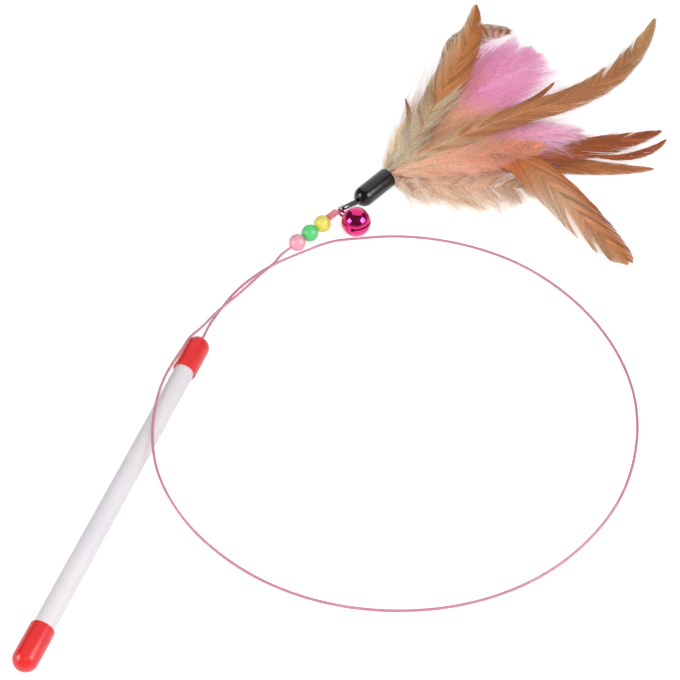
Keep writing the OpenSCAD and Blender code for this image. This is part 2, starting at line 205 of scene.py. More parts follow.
def roundAngles(count):
    # even angles of one full turn
    return np.linspace(0, 2 * math.pi, count, endpoint=False)


def spunGrid(profile, origin, axes, count=96):
    # a profile of (radius, height) turned about the frame's third axis
    angle = roundAngles(count)
    r, h = profile[:, 0, None], profile[:, 1, None]
    local = np.stack([r * np.cos(angle), r * np.sin(angle), h + 0 * angle], axis=-1)
    return np.asarray(origin) + local @ axes


def ringsRound(line, along, up, radius, sides):
    # rings square to a line: its points + radius (cos(angle) side + sin(angle) over)
    side = unitRows(np.cross(np.asarray(up, float), along))
    over = np.cross(along, side)
    angle = roundAngles(sides)[None, :, None]
    return line[:, None] + radius * (np.cos(angle) * side[:, None] + np.sin(angle) * over[:, None])


def tubeGrid(path, radius, up, sides=16):
    # a round section carried along a path, closed at each end by rings of a flattened half ball
    path = np.asarray(path, float)
    along = unitRows(np.gradient(path, axis=0))
    bulge = np.radians([90, 60, 30])
    radii = np.broadcast_to(np.asarray(radius, float), len(path))
    first = path[0] - along[0] * (radii[0] * 0.5 * np.sin(bulge))[:, None]
    final = path[-1] + along[-1] * (radii[-1] * 0.5 * np.sin(bulge[::-1]))[:, None]
    line = np.concatenate([first, path, final])
    along = np.concatenate([along[:1].repeat(3, 0), along, along[-1:].repeat(3, 0)])
    size = np.concatenate([radii[0] * np.cos(bulge), radii, radii[-1] * np.cos(bulge[::-1])])
    return ringsRound(line, along, up, size[:, None, None], sides)


# camera, floor and light

# the camera's place in metres, its two angles in degrees and its lens in millimetres
view = dict(place=(0.23864, -0.31440, 0.59675), azimuth=19.78, elevation=48.18, lens=95.294)

camera = addPiece("camera", bpy.data.cameras.new("camera"))
camera.data.lens = view["lens"]
camera.data.sensor_width = 36
camera.data.clip_end = 20
azimuth, elevation = math.radians(view["azimuth"]), math.radians(view["elevation"])
right = np.array([math.cos(azimuth), math.sin(azimuth), 0])
back = np.array([math.cos(elevation) * math.sin(azimuth),
                 -math.cos(elevation) * math.cos(azimuth), math.sin(elevation)])
camera.matrix_world = placedMatrix((right, np.cross(back, right), back), view["place"])
bpy.context.scene.camera = camera
bpy.context.scene.view_settings.view_transform = "Standard"

# the air's level, the lamps' powers in watts and what they face, and the floor; its own light
# is given as pairs of a distance from the middle in metres and the strength there
studio = dict(world=0.16, right=4.4, left=2.5, front=5.2, gleam=6.0, leftGleam=0.6,
              middle=(0.04, 0.26, 0), frontTarget=(0.1, 0.28, 0), floorColour="#F6F6F6",
              floorSize=6000.0, floorLift=(0.5, 0.52), farLift=(1.4, 0.9))
# what a mirror sees: the ways to the white sheet and across it, the sheet's lower edge, middle
# and half width, the room's level and the low white band; an edge goes from one pair of place
# and level to the other
mirrorRoom = dict(behind=(-0.177, 0.792, 0.585), beside=(0.941, 0.338, 0),
                  edge=((0.65, 0.0), (0.7, 1.0)), middle=0.08, half=((0.45, 1.0), (0.56, 0.0)),
                  room=0.15, band=((0.12, 0.7), (0.3, 0.0)))


def buildFloor():
    # a pale matt sheet at the level the wand lies on; seen straight or in a reflection it gets a
    # little light of its own, so that it reads white and keeps the soft shadow, and more of it
    # far off, where the lamps hardly reach
    size, z = studio["floorSize"], -capRadius
    grid = np.array([[[x, y, z] for y in (-size, size)] for x in (size, -size)])
    mesh = fillMesh("floorSheet", grid.reshape(-1, 3), np.array([[0, 1, 3, 2]]))
    colour = linearColour(studio["floorColour"])
    material, tree, shader = newMaterial("paperFloor", Base_Color=colour, Roughness=0.9,
                                         Specular_IOR_Level=0.1)
    path = addNode(tree, "LightPath").outputs
    seen = mathNode(tree, "ADD", path["Is Camera Ray"], path["Is Glossy Ray"])
    seen = mathNode(tree, "ADD", seen, path["Is Transmission Ray"], clamp=True)
    place = addNode(tree, "TexCoord").outputs["Object"]
    away = addNode(tree, "VectorMath", {0: place}, operation="LENGTH").outputs["Value"]
    level = rangeNode(tree, away, studio["floorLift"], studio["farLift"])
    tree.links.new(mathNode(tree, "MULTIPLY", seen, level), shader.inputs["Emission Strength"])
    shader.inputs["Emission Color"].default_value = (1, 1, 1, 1)
    mesh.materials.append(material)
    floor = addPiece("floorSheet", mesh)


def addLamp(name, place, target, width, height, watts, lights=True, mirrored=True):
    # a soft rectangular lamp that faces a point; it can be one that only lights, or one that is
    # only mirrored
    lamp = bpy.data.lights.new(name, "AREA")
    lamp.shape, lamp.size, lamp.size_y, lamp.energy = "RECTANGLE", width, height, watts
    piece = addPiece(name, lamp)
    out = unitRows(np.asarray(place, float) - np.asarray(target, float))
    side = unitRows(np.cross([0, 0, 1.0], out))
    piece.matrix_world = placedMatrix((side, np.cross(out, side), out), place)
    piece.visible_diffuse, piece.visible_transmission = lights, lights
    piece.visible_glossy = mirrored


def buildLight():
    # an even white air lights every side; a mirror sees a dark room with a white band low down, a
    # white sheet that rises behind the wand to overhead, and a square soft box at each side of
    # the camera
    world = bpy.data.worlds.new("studioAir")
    bpy.context.scene.world = world
    world.use_nodes = True
    tree = world.node_tree
    even = tree.nodes["Background"]
    white = (1, 1, 1, 1)
    even.inputs["Strength"].default_value = studio["world"]
    even.inputs["Color"].default_value = white
    plain = addNode(tree, "Background", {"Color": white, "Strength": 1.0}).outputs[0]
    path = addNode(tree, "LightPath").outputs
    seen = mathNode(tree, "ADD", path["Is Camera Ray"], path["Is Transmission Ray"], clamp=True)
    way = addNode(tree, "TexCoord").outputs["Generated"]
    behind, beside = (addNode(tree, "VectorMath", {0: way, 1: mirrorRoom[key]},
                              operation="DOT_PRODUCT").outputs["Value"]
                      for key in ("behind", "beside"))
    beside = mathNode(tree, "ABSOLUTE", mathNode(tree, "SUBTRACT", beside, mirrorRoom["middle"]))
    narrow = rangeNode(tree, beside, *mirrorRoom["half"], "SMOOTHSTEP")
    sheet = rangeNode(tree, behind, *mirrorRoom["edge"], "SMOOTHSTEP")
    sheet = mathNode(tree, "ADD", mathNode(tree, "MULTIPLY", sheet, narrow), mirrorRoom["room"])
    height = addNode(tree, "SeparateXYZ", {0: way}).outputs["Z"]
    band = rangeNode(tree, height, *mirrorRoom["band"], "SMOOTHSTEP")
    room = mathNode(tree, "MAXIMUM", sheet, band)
    sheet = addNode(tree, "Background", {"Color": white, "Strength": room}).outputs[0]
    mirrored = mixNode(tree, path["Is Glossy Ray"], even.outputs[0], sheet)
    mixed = mixNode(tree, seen, mirrored, plain)
    tree.links.new(mixed, tree.nodes["World Output"].inputs["Surface"])
    middle = studio["middle"]
    gleam = studio["gleam"]
    addLamp("rightBox", (0.98, 0.24, 0.62), middle, 0.72, 0.62, studio["right"])
    addLamp("rightGleam", (0.97, 0.24, 0.61), middle, 0.70, 0.60, gleam, lights=False)
    addLamp("leftBox", (-0.66, -0.36, 0.5), middle, 0.5, 0.5, studio["left"])
    addLamp("leftGleam", (-0.65, -0.35, 0.49), middle, 0.48, 0.48, gleam * studio["leftGleam"],
            lights=False)
    addLamp("frontBox", (0.26, -0.37, 0.7), studio["frontTarget"], 0.5, 0.5, studio["front"],
            mirrored=False)


buildFloor()
buildLight()
print("camera, floor and light")


# finishes

def speckled(name, low, high, scale, bump=0.0, bumpScale=None, detail=3.0, spread=(0.3, 0.7),
             **values):
    # a moulded finish whose colour wanders a little between two values over some millimetres,
    # with an optional fine bump; scale is in waves per metre
    material, tree, shader = newMaterial(name, **values)
    place = addNode(tree, "TexCoord").outputs["Object"]
    noise = addNode(tree, "TexNoise", {"Vector": place, "Scale": scale, "Detail": detail})
    ramp = addNode(tree, "ValToRGB", {"Fac": noise.outputs["Fac"]})
    for stop, where, colour in zip(ramp.color_ramp.elements, spread, (low, high)):
        stop.position, stop.color = where, linearColour(colour)
    tree.links.new(ramp.outputs["Color"], shader.inputs["Base Color"])
    if bump:
        grain = addNode(tree, "TexNoise", {"Vector": place, "Scale": bumpScale, "Detail": 2.0})
        relief = addNode(tree, "Bump", {"Height": grain.outputs["Fac"], "Strength": 0.5,
                                        "Distance": bump})
        tree.links.new(relief.outputs["Normal"], shader.inputs["Normal"])
    return material


beadSkin = dict(Roughness=0.38, IOR=1.59, Subsurface_Weight=0.2, Subsurface_Scale=0.002,
                Coat_Weight=0.1, Coat_Roughness=0.2)

# the finish of each slot
finishes = dict(
    # nylon-coated steel wire, drawn: an even dusty pink with a soft gloss along its top
    pink_wire=speckled("nylonCoatedWire", "#C67C92", "#D890A6", 90, detail=2.0, spread=(0, 1),
                       Base_Color=linearColour("#CE859B"), Roughness=0.34, IOR=1.53,
                       Coat_Weight=0.15, Coat_Roughness=0.2),
    # dipped soft PVC: a full red under a wet-looking skin that ripples a little
    red_vinyl=speckled("dippedRedVinyl", "#DE1A1C", "#E82527", 60, bump=0.00004, bumpScale=260,
                       Roughness=0.34, IOR=1.53, Specular_IOR_Level=0.4, Coat_Weight=0.2,
                       Coat_Roughness=0.2),
    # extruded polypropylene: milky white with a lilac cast, soft satin along its length
    white_tube=speckled("extrudedPolypropylene", "#E3DEE3", "#E9E5E9", 40, Roughness=0.5,
                        IOR=1.49, Sheen_Weight=0.1),
    # drawn steel wire: a grey metal, dulled by handling
    bare_steel=speckled("drawnSteel", "#A9A4A4", "#C4C0C0", 700, Metallic=1.0, Roughness=0.32),
    # extruded PVC sleeve: pink and slightly see-through, so that it looks soft
    sleeve_pink=speckled("softPinkSleeve", "#EC7F93", "#F49AA9", 300, Roughness=0.35, IOR=1.53,
                         Subsurface_Weight=0.3, Subsurface_Scale=0.0015, Coat_Weight=0.2),
    # moulded polystyrene beads: opaque pastel with a glassy skin
    bead_pink=speckled("polystyrenePink", "#F8A9C0", "#FBB4C8", 60, **beadSkin),
    bead_green=speckled("polystyreneGreen", "#5CDB80", "#64DF87", 60, **beadSkin),
    bead_yellow=speckled("polystyreneYellow", "#F1E45F", "#F5E96C", 60, **beadSkin),
    # lacquered pressed steel: a magenta mirror with shallow waves left by the press
    bell_magenta=speckled("lacquerMagentaSteel", "#CE146C", "#DA207A", 90, bump=0.00002,
                          bumpScale=220, Metallic=1.0, Roughness=0.06, Coat_Weight=0.5,
                          Coat_Roughness=0.02),
    # moulded black PVC: near black with a broad grey sheen
    black_plastic=speckled("mouldedBlackVinyl", "#060606", "#0C0C0C", 150, bump=0.00002,
                           bumpScale=500, Roughness=0.24, IOR=1.53, Specular_IOR_Level=0.4,
                           Coat_Weight=0.15, Coat_Roughness=0.14))
# tumbled steel: a dull grey ball, out of sight
pelletSteel = speckled("tumbledSteel", "#8F8B88", "#A7A39F", 400, Metallic=1.0, Roughness=0.4)
# hot glue: a yellowish wax, out of sight
hotGlue = speckled("hotGlue", "#CFC6A8", "#DDD6BD", 300, Roughness=0.35, IOR=1.48)


# the free wire

# its route in metres, from the top cap round the big loop, over the handle and to the beads
wireRoute = np.array([
    (0, 0.167600, 0), (0, 0.1692, 0), (-0.0005, 0.176, -0.0009), (0.0001, 0.1905, -0.0026),
    (0.002, 0.2045, -0.004), (0.011, 0.225, -0.00465), (0.0205, 0.237, -0.00465),
    (0.033, 0.25, -0.00465), (0.043, 0.2554, -0.00465), (0.058, 0.2623, -0.00465),
    (0.086, 0.268, -0.00465), (0.1155, 0.2657, -0.00465), (0.146, 0.2528, -0.00465),
    (0.172, 0.2305, -0.00465), (0.189, 0.203, -0.00465), (0.196, 0.176, -0.00465),
    (0.196, 0.1485, -0.00465), (0.1895, 0.1245, -0.00465), (0.175, 0.099, -0.00465),
    (0.1535, 0.0785, -0.00465), (0.125, 0.064, -0.00465), (0.094, 0.0582, -0.00465),
    (0.068, 0.0604, -0.0046), (0.0495, 0.0655, -0.0032), (0.0305, 0.0745, 0),
    (0.0135, 0.0893, 0.0036), (0.0015, 0.111, 0.0052), (-0.0046, 0.1375, 0.0052),
    (-0.004, 0.156, 0.0049), (-0.0035, 0.1637, 0.0046), (-0.0015, 0.1705, 0.004),
    (0.0009, 0.1817, 0.003), (0.0063, 0.1997, 0.0014), (0.0102, 0.2145, 0.0001),
    (0.0126, 0.224, -0.0013), (0.0138, 0.23137, -0.00198), (0.0145, 0.2328, -0.00185)])
buttEnd = -(handle["capLength"] - capRadius) / 2 - capRadius
topEnd = buttEnd + handle["length"]
wireRoute[0, 1] = (topEnd + wireSize["proud"]) * millimetre
tipAxes = turnedAxes(wireSize["tipAzimuth"], wireSize["tipRise"])
tipLevel = turnedAxes(wireSize["tipAzimuth"], 0)[2]
tipStart = np.array(wireSize["tipStart"], float)


def smoothRoute(route, first, last, count):
    # cubic pieces between neighbouring points, whose slope at a point is the mean of the slopes
    # of its two spans, each weighted by the other's length
    step = np.diff(route, axis=0)
    span = np.linalg.norm(step, axis=1)[:, None]
    rate = step / span
    inner = unitRows((span[1:] * rate[:-1] + span[:-1] * rate[1:]) / (span[1:] + span[:-1]))
    slope = np.concatenate([[first], inner, [last]])
    t = (np.arange(count) / count)[None, :, None]
    a, b, h = route[:-1, None], route[1:, None], span[:, None]
    line = ((1 + 2 * t) * (1 - t) ** 2 * a + t * (1 - t) ** 2 * h * slope[:-1, None]
            + t * t * (3 - 2 * t) * b + t * t * (t - 1) * h * slope[1:, None])
    return np.concatenate([line.reshape(-1, 3), route[-1:]])


wireLine = smoothRoute(wireRoute, np.array([0, 1.0, 0]), tipAxes[2], 12)
curve = bpy.data.curves.new("freeWire", "CURVE")
curve.dimensions = "3D"
curve.bevel_depth = wireSize["width"] / 2 * millimetre
curve.bevel_resolution = 3
curve.use_fill_caps = True
spline = curve.splines.new("POLY")
spline.points.add(len(wireLine) - 1)
spline.points.foreach_set("co", np.column_stack([wireLine, np.ones(len(wireLine))]).ravel())
spline.use_smooth = True
curve.materials.append(finishes["pink_wire"])
freeWire = addPiece("freeWire", curve)
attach(freeWire, "wand")
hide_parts("wire")


# handle

def cappedProfile(radius, wall, length, lip, hole=0.0):
    # a domed cap standing on its apex: the outer dome and wall, a rolled lip, then the inner
    # wall and dome back to the apex; a hole, if any, is left round the axis
    outer, inner = radius, radius - wall
    low = -90 + math.degrees(math.asin(hole / outer))
    lowIn = -90 + math.degrees(math.asin(hole / inner))
    return np.concatenate([
        arcPoints((0, radius), outer, low, 0, 26),
        arcPoints((outer - lip, length - lip), lip, 0, 90, 8),
        arcPoints((inner + lip, length - lip), lip, 90, 180, 8),
        arcPoints((0, radius), inner, 0, lowIn, 22)])


def buildHandle():
    # the tube and its two red caps, all spun about the handle's axis
    along, against = turnedAxes(90, 0), turnedAxes(-90, 0)
    r, wall = handle["tubeWidth"] / 2, handle["tubeWall"]
    length = handle["length"] - 2 * capRadius
    bevel = handle["bevel"]
    section = np.concatenate([
        arcPoints((r - bevel, bevel), bevel, -90, 0, 5),
        pointRows(r, np.linspace(2, length - 2, 20)),
        arcPoints((r - bevel, length - bevel), bevel, 0, 90, 5),
        pointRows(r - wall, np.linspace(length, 0, 20))])
    gridPiece("handleTube", spunGrid(section, (0, buttEnd + capRadius, 0), along), "wand",
              ["handle_tube"], "white_tube", closeRows=True)
    cap = (capRadius, handle["capWall"], handle["capLength"], handle["lip"])
    closed = cappedProfile(*cap)
    gridPiece("buttCap", spunGrid(closed, (0, buttEnd, 0), along), "wand", ["butt_cap"], "red_vinyl")
    pierced = cappedProfile(*cap, wireSize["width"] / 2 + handle["slack"])
    gridPiece("topCap", spunGrid(pierced, (0, topEnd, 0), against), "wand", ["top_cap"],
              "red_vinyl", closeRows=True)


buildHandle()
print("handle")


# the wire's tip, with its beads, sleeve and eye

beadPlaces = beadSize["lead"] + np.arange(3) * (beadSize["width"] + beadSize["gap"])
sleeveStart = beadPlaces[2] + beadSize["width"] / 2 + sleeveSize["gap"]
sleeveEnd = sleeveStart + sleeveSize["length"]
strandGap = wireSize["width"] + 0.8 * handle["slack"]
eyeCentre = tipStart + (sleeveEnd + wireSize["eyeLeg"] + wireSize["eyeRadius"]) * tipAxes[2]


def tipPoints(along, left=0.0):
    # places on the tip's axis, some way along it and to its left
    along, left = np.broadcast_arrays(np.asarray(along, float), np.asarray(left, float))
    return tipStart + along[:, None] * tipAxes[2] + left[:, None] * tipAxes[1]


def beadProfile(radius, hole):
    # a ball's outline between the two rims of its hole, the rims rounded, and the hole's wall
    soft = beadSize["rim"]
    rim = math.degrees(math.acos((hole + soft) / radius))
    high = radius * math.sin(math.radians(rim))
    return np.concatenate([
        arcPoints((0, 0), radius, -rim, rim, 48),
        arcPoints((hole + soft, high - soft), soft, 75, 180, 5),
        arcPoints((hole + soft, -high + soft), soft, 180, 285, 5)])


def buildTip():
    # the straight strand and the tail are plain wire, and the bare core makes one full turn
    # from the strand round to the tail, moving aside by a square law on its last part
    up = (0, 0, 1)
    radius = wireSize["width"] / 2
    end = sleeveEnd - wireSize["short"]
    run = tipPoints(np.linspace(0, end, 60))
    gridPiece("wireStrand", tubeGrid(run, radius, up), "wand", ["wire_tip"], "pink_wire")
    run = tipPoints(np.linspace(sleeveStart - sleeveSize["tail"] + 0.2, end, 12), strandGap)
    gridPiece("wireTail", tubeGrid(run, radius, up), "wand", ["wire_tail"], "pink_wire")
    turn = np.radians(np.linspace(180, -172, 64))
    ring = wireSize["eyeRadius"]
    moved = np.clip((turn[0] - turn - wireSize["shiftFrom"]) / wireSize["shiftOver"], 0, 1)
    sideways = strandGap * moved ** 2 * wireSize["shift"]
    loop = (eyeCentre + ring * (np.cos(turn)[:, None] * tipLevel
                                + np.sin(turn)[:, None] * np.array([0, 0, 1.0]))
            + sideways[:, None] * tipAxes[1])
    lead = tipPoints([sleeveEnd - 0.6, sleeveEnd - 0.2])
    tail = tipPoints([sleeveEnd + 0.05, sleeveEnd - 0.6], strandGap)
    path = np.concatenate([lead, loop, tail])
    gridPiece("wireEye", tubeGrid(path, wireSize["core"] / 2, tipAxes[1]), "wand",
              ["wire_eye"], "bare_steel")
    for name, place in zip(("pink", "green", "yellow"), beadPlaces):
        grid = spunGrid(beadProfile(beadSize["width"] / 2, beadSize["hole"] / 2),
                        tipPoints([place])[0], tipAxes)
        gridPiece(name + "Bead", grid, name + "_bead", ["bead_" + name], "bead_" + name,
                  closeRows=True)


def buildSleeve():
    # an oval tube round both strands, swollen and spread where it was pressed on: a stadium
    # outline at a run of offsets, out over the wall, round each rim and back through the bore,
    # pinched a little at the middle by half a sine
    inner = wireSize["width"] / 2 + handle["slack"]
    outer = inner + sleeveSize["wall"] + sleeveSize["swell"]
    soft = (outer - inner) / 2
    length = sleeveSize["length"] + 2 * sleeveSize["spread"]
    section = np.concatenate([
        arcPoints((inner + soft, soft), soft, 180, 360, 9),
        pointRows(outer, np.linspace(0.6, length - 0.6, 8)),
        arcPoints((inner + soft, length - soft), soft, 0, 180, 9)])
    turn = roundAngles(64)
    middle = strandGap / 2 * np.sign(np.sin(turn) + 1e-9)
    pinch = 1 - sleeveSize["pinch"] * np.sin(math.pi * section[:, 1] / length)[:, None]
    r, h = section[:, 0, None] * pinch, section[:, 1, None]
    local = np.stack([r * np.cos(turn), middle + r * np.sin(turn), h + 0 * turn], axis=-1)
    origin = (tipStart + (sleeveStart - sleeveSize["spread"]) * tipAxes[2]
              + strandGap / 2 * tipAxes[1])
    gridPiece("crimpSleeve", origin + local @ tipAxes, "wand", ["crimp_sleeve"], "sleeve_pink",
              closeRows=True)


buildTip()
buildSleeve()
print("wire tip, beads and sleeve")


# bell

bellRadius = bellSize["width"] / 2
bellReach = bellRadius + bellSize["boss"] + bellSize["leg"]
bellHinge = eyeCentre - np.array([0, 0, wireSize["eyeRadius"]])
bellTilt = math.degrees(math.asin((-capRadius + bellRadius - bellHinge[2]) / bellReach))
bellAxes = turnedAxes(bellSize["azimuth"] + 180, -bellTilt)
bellCentre = bellHinge - bellReach * bellAxes[2]


def upperShell():
    # the crown: outer dome with a small round boss, a rounded rim at the seam, inner dome
    r, wall, seam = bellRadius, bellSize["wall"], bellSize["seam"] + bellSize["seamGap"]
    boss = bellSize["staple"] + bellSize["stapleWidth"] / 2 + bellSize["bossMargin"]
    bossRim, rim = bellSize["bossRim"], bellSize["seamRim"]
    low = math.degrees(math.asin(seam / r))
    lowIn = math.degrees(math.asin(seam / (r - wall)))
    edge = math.degrees(math.acos(boss / r))
    crown = r + bellSize["boss"]
    return np.concatenate([
        [(0, crown), (boss * 0.5, crown)],
        arcPoints((boss - bossRim, crown - bossRim), bossRim, 90, 20, 5),
        arcPoints((0, 0), r, edge - 1.2, low + 1.6, 40),
        arcPoints((r * math.cos(math.radians(low)) - rim, seam + rim), rim, 25, -90, 6),
        arcPoints((0, 0), r - wall, lowIn, 90, 40)])


# rows of the belly between the seam and the slot's end
petalRows = 8


def bellyHalf(left):
    # half of the belly, beside the slot: polar angle down from the seam by share across, whose
    # edge keeps half the slot's width from the slot's plane and widens round the slot's end,
    # where cos(hole) = cos(angle) cos(end) + sin(angle) sin(end) cos(edge)
    half, hole = bellSize["slot"] / 2, bellSize["slotEnd"] / 2
    middle = math.radians(bellSize["slotAngle"])
    across = np.linspace(0, 1, 33)[None, :]
    grids = []
    for size in (bellRadius, bellRadius - bellSize["wall"]):
        top = math.pi / 2 + math.asin((bellSize["seam"] - bellSize["seamGap"]) / size)
        wide = math.asin(hole / size)
        meet = middle - math.sqrt(wide ** 2 - (half / size) ** 2)
        along = np.linspace(1, 0, 40)[1:] * math.sqrt(math.sin(meet) ** 2 - (half / size) ** 2)
        polar = np.concatenate([
            np.linspace(top, middle + wide, petalRows + 1)[:-1],
            middle + wide + (meet - middle - wide) * (1 - np.cos(np.linspace(0, math.pi, 17))) / 2,
            np.arcsin(np.sqrt(along ** 2 + (half / size) ** 2))])
        cosEdge = (np.cos(wide) - np.cos(polar) * math.cos(middle)) / (
            np.sin(polar) * math.sin(middle))
        edge = np.where(polar > middle + wide, 0, np.where(
            polar > meet, np.arccos(np.clip(cosEdge, -1, 1)),
            np.arcsin(np.clip(half / size / np.sin(polar), 0, 1))))[:, None]
        polar = polar[:, None]
        angle = math.radians(90 + 180 * left) + edge + (math.pi - 2 * edge) * across
        grids.append(size * np.stack([np.sin(polar) * np.cos(angle), np.sin(polar) * np.sin(angle),
                                      -np.cos(polar) + 0 * angle], axis=-1))
    return grids


def buildBell():
    gridPiece("bellCrown", spunGrid(upperShell(), bellCentre, bellAxes, 128), "bell",
              ["bell_upper"], "bell_magenta")
    points, quads = [], []
    total = 0
    for left in range(2):
        outer, inner = bellyHalf(left)
        rows, columns = outer.shape[:2]
        count = rows * columns
        faces = gridFaces(rows, columns, False, False)
        index = np.arange(count).reshape(rows, columns)
        rim = np.concatenate([index[:, 0], index[-1, 1:], index[-2::-1, -1], index[0, -2:0:-1]])
        following = np.roll(rim, -1)
        wall = np.stack([rim, following, following + count, rim + count], axis=1)
        # where the halves meet above the slot's end there is no edge, so no wall either
        shut = (rim // columns <= petalRows) & (following // columns <= petalRows) & (
            rim % columns == following % columns)
        points += [outer.reshape(-1, 3), inner.reshape(-1, 3)]
        quads += [faces + total, faces[:, ::-1] + total + count, wall[~shut] + total]
        total += 2 * count
    mesh = fillMesh("bellBelly", bellCentre + np.concatenate(points) @ bellAxes,
                    np.concatenate(quads))
    sealMesh(mesh, 2e-6)
    placePiece("bellBelly", mesh, "bell", ["bell_lower"], "bell_magenta")
    # the staple is one bent wire: up one leg, half a turn round the eye and down the other
    r, leg = bellSize["staple"], bellSize["leg"] + bellSize["boss"]
    turn = np.radians(np.linspace(0, 180, 33))
    up = np.linspace(-leg, -0.3, 9)
    local = np.concatenate([pointRows(r, 0, up), pointRows(r * np.cos(turn), 0, r * np.sin(turn)),
                            pointRows(-r, 0, up[::-1])])
    grid = tubeGrid(bellHinge + local @ bellAxes, bellSize["stapleWidth"] / 2, bellAxes[1], 20)
    gridPiece("bellStaple", grid, "bell", ["bell_staple"], "bell_magenta")


buildBell()
print("bell")


# black loop and feather cap

slip = math.radians(lureSize["slip"])
farPoint = eyeCentre + wireSize["eyeRadius"] * (math.cos(slip) * tipLevel
                                                - np.array([0, 0, math.sin(slip)]))
lureRadius = lureSize["capWidth"] / 2
loopRise = math.degrees(math.asin((-capRadius + lureRadius - farPoint[2]) / lureSize["reach"]))
loopAxes = turnedAxes(lureSize["azimuth"], loopRise)
domePoint = farPoint + lureSize["reach"] * loopAxes[2]
capAxes = turnedAxes(lureSize["capAzimuth"], 0)
mouthPoint = domePoint + lureSize["capLength"] * capAxes[2]


def buildLureCap():
    # a soft cap with a round hole at its crown, through which the doubled black cord passes
    profile = cappedProfile(lureRadius, lureSize["capWall"], lureSize["capLength"],
                            lureSize["lip"], lureSize["hole"])
    gridPiece("featherCap", spunGrid(profile, domePoint, capAxes), "lure", ["feather_cap"],
              "black_plastic", closeRows=True)
    r = lureSize["turn"]
    end = lureSize["reach"] + lureSize["capWall"] + lureSize["knotDepth"]
    turn = np.radians(np.linspace(90, 270, 25))
    # clear of the bell's staple the strands swell and close up, both by
    # 1 - exp(-distance / easing)
    run = np.linspace(end, 0.3, 28)
    close = 1 - np.exp(-np.maximum(run - lureSize["plain"], 0) / lureSize["easing"])
    beside = r + (lureSize["close"] - r) * close
    local = np.concatenate([
        pointRows(0, beside, run),
        pointRows(0, r * np.sin(turn), lureSize["turnBack"] * np.cos(turn)),
        pointRows(0, -beside[::-1], run[::-1])])
    thin = lureSize["strand"] / 2
    strand = thin + (lureSize["swell"] - lureSize["strand"]) / 2 * close
    strand = np.concatenate([strand, 0 * turn + thin, strand[::-1]])
    gridPiece("blackLoop", tubeGrid(farPoint + local @ loopAxes, strand, loopAxes[0], 16),
              "lure", ["lure_loop"], "black_plastic")
    # the knot that holds it in the cap: the three-leaved path of an overhand knot
    t = np.linspace(0, 2 * math.pi, 121)[:-1]
    size = lureSize["knot"]
    knot = pointRows(size * (np.sin(t) + 2 * np.sin(2 * t)), size * (np.cos(t) - 2 * np.cos(2 * t)),
                     -size * 1.6 * np.sin(3 * t))
    knot = farPoint + (knot + (0, 0, end + lureSize["knotLift"])) @ loopAxes
    along = unitRows(np.roll(knot, -1, 0) - np.roll(knot, 1, 0))
    grid = ringsRound(knot, along, loopAxes[2], lureSize["knotWidth"] / 2, 10)
    gridPiece("blackKnot", grid, "lure", [], "black_plastic", closeRows=True)


buildLureCap()
print("black loop and feather cap")


# feathers

tuft = dict(length=182, plumeHalf=21, rise=26, ease=60, pitch=1.9, layer=1.2, quillIn=9,
            quill=1.0, floorGap=0.3, layerShares=(-0.02, 0.19, 0.38, 0.54, 0.77, 1),
            horn="0 #E8DCC4 0.3 #D8BE98 1 #B98A60")

# the flat map: one strip for each side's barbs and a narrow one for the shaft
flatMap = dict(barbs=0.485, second=0.49, till=0.976, shaft=0.982, shaftWide=0.016)
# millimetres between the knots of the smooth noise in a vane
noiseStep = dict(lean=3.3, gap=2.6, fineGap=0.9, lift=1.7, bars=5)

# how the barbs of a vane and those of down grow: soft or not, barbs per millimetre and per wisp,
# and the rest in millimetres or as shares of the shaft, the width, the light or the map
vane = dict(soft=False, perMm=3.4, lean=3.0, leanSpread=0.03, ragged=0.04, clump=0.05,
            loft=0.08, wave=0.12, barb=0.2, start=0.07, till=0.985, cup=0.1, wisp=12, gather=0.16,
            streak=0.12, mottle=0.08, stray=0.25, tidyShare=0.97, steps=6, thick=0.3, shaft=0.5,
            horn=1, mapHalf=0.0009, leanEnds=(0.2, 6), gatherLeast=0.4, edgePower=1.4, jitter=0.3,
            clumpLean=0.8, clumpReach=1.2, splitSteep=4, waves=(4.5, 4), waveRise=0.5,
            uneven=0.12, gapLight=0.1)
fluff = dict(soft=True, perMm=15, lean=1.9, leanSpread=0.3, ragged=0.3, loft=0.8, wave=0.6,
             barb=0.1, start=0.01, till=0.96, cup=0.03, wisp=13, gather=0.45, bend=0.14,
             cross=0.7, streak=0.08, mottle=0.07, stray=0.35, tidyShare=0.93, steps=9, thick=0.35,
             shaft=0.16, horn=0.3, mapHalf=0.0012, leanEnds=(0.3, 6), gatherLeast=0.5,
             edgePower=1.2, rootSpread=1.6, barbLean=0.12, barbReach=0.3, barbBend=0.35, waves=5,
             barbLoft=0.3, tipSpread=0.02)
creamDown = dict(middle="0 #F8E6C6 0.4 #F4D8AA", edge="0 #FFF8E8 0.4 #FFF0D6", strand="#A8693C",
                 streak=0.14)
looseDown = dict(creamDown, belly=1, barb=0.085, thick=0.5)
